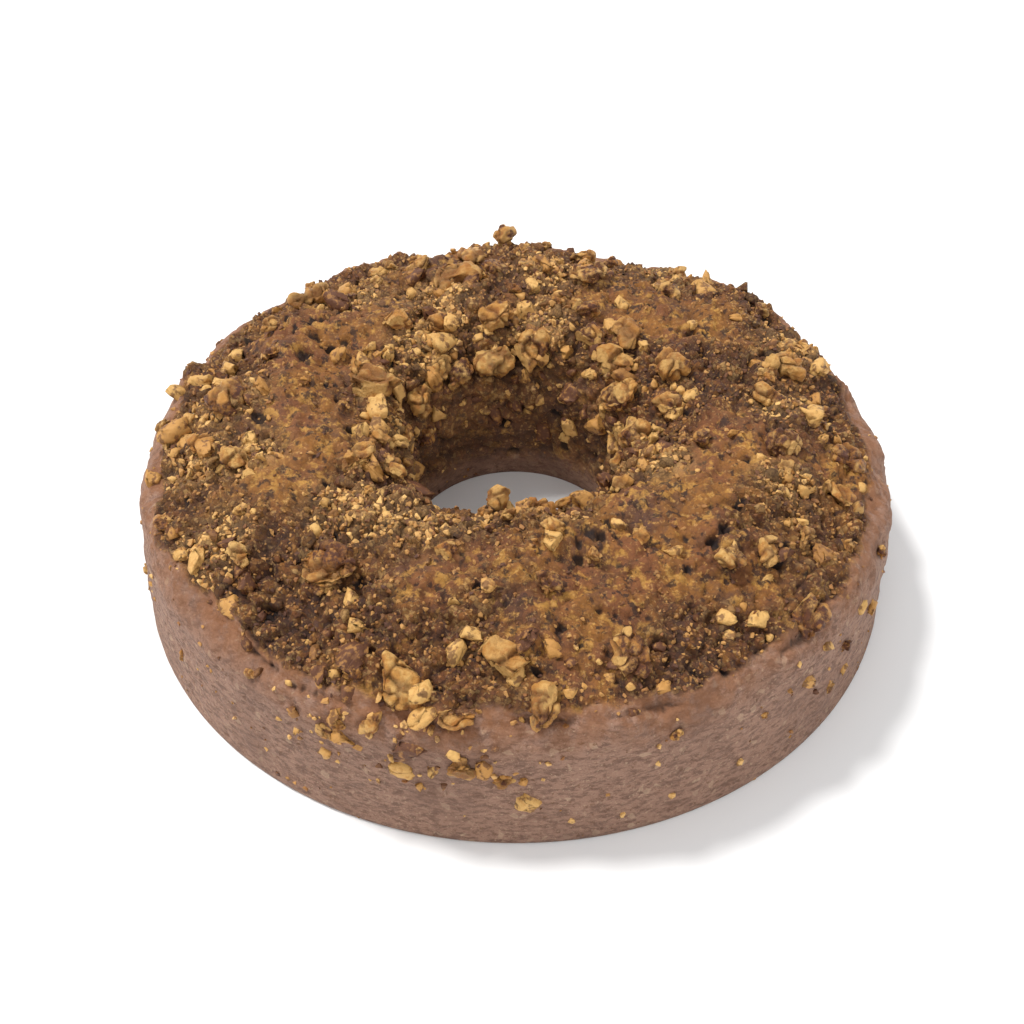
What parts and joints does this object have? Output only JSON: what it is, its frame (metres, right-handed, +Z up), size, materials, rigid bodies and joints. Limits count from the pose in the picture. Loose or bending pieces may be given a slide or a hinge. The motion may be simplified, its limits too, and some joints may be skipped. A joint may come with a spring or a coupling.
{
  "type": "carrot cake",
  "caption": "Ring-shaped carrot cake with a craggy brown crown, a straight crumbed side, an open hole through its middle and chopped walnuts baked on top.",
  "frame": {"origin": "centre of the flat underside, on the axis of the hole", "axes": "+Z up through the hole, -Y towards the side seen in front, +X to its right"},
  "size_m": [0.228, 0.228, 0.0626],
  "materials": {
    "crust": "baked brown cake crust, matte, open crumb",
    "walnut": "toasted walnut, tan meat with brown skin, faint oily sheen"
  },
  "bodies": {
    "root": {"cake_ring": "crust", "walnut_01": "walnut", "walnut_02": "walnut", "walnut_03": "walnut", "walnut_04": "walnut", "walnut_05": "walnut", "walnut_06": "walnut", "walnut_07": "walnut", "walnut_08": "walnut", "walnut_09": "walnut", "walnut_10": "walnut", "walnut_11": "walnut", "walnut_12": "walnut", "walnut_13": "walnut", "walnut_14": "walnut", "walnut_15": "walnut", "walnut_16": "walnut", "walnut_17": "walnut", "walnut_18": "walnut", "walnut_19": "walnut", "walnut_20": "walnut", "walnut_21": "walnut", "walnut_22": "walnut", "walnut_23": "walnut", "walnut_24": "walnut", "walnut_25": "walnut", "walnut_26": "walnut", "walnut_27": "walnut", "walnut_28": "walnut", "walnut_29": "walnut", "walnut_30": "walnut", "walnut_31": "walnut", "walnut_32": "walnut", "walnut_33": "walnut", "walnut_34": "walnut", "walnut_35": "walnut", "walnut_36": "walnut", "walnut_37": "walnut", "walnut_38": "walnut", "walnut_39": "walnut", "walnut_40": "walnut", "walnut_41": "walnut", "walnut_42": "walnut", "walnut_43": "walnut", "walnut_44": "walnut", "walnut_45": "walnut", "walnut_46": "walnut", "walnut_47": "walnut", "walnut_48": "walnut", "walnut_49": "walnut", "walnut_50": "walnut", "walnut_51": "walnut", "walnut_52": "walnut", "walnut_53": "walnut", "walnut_54": "walnut", "walnut_55": "walnut", "walnut_56": "walnut", "walnut_57": "walnut", "walnut_58": "walnut", "walnut_59": "walnut"}
  },
  "joints": []
}
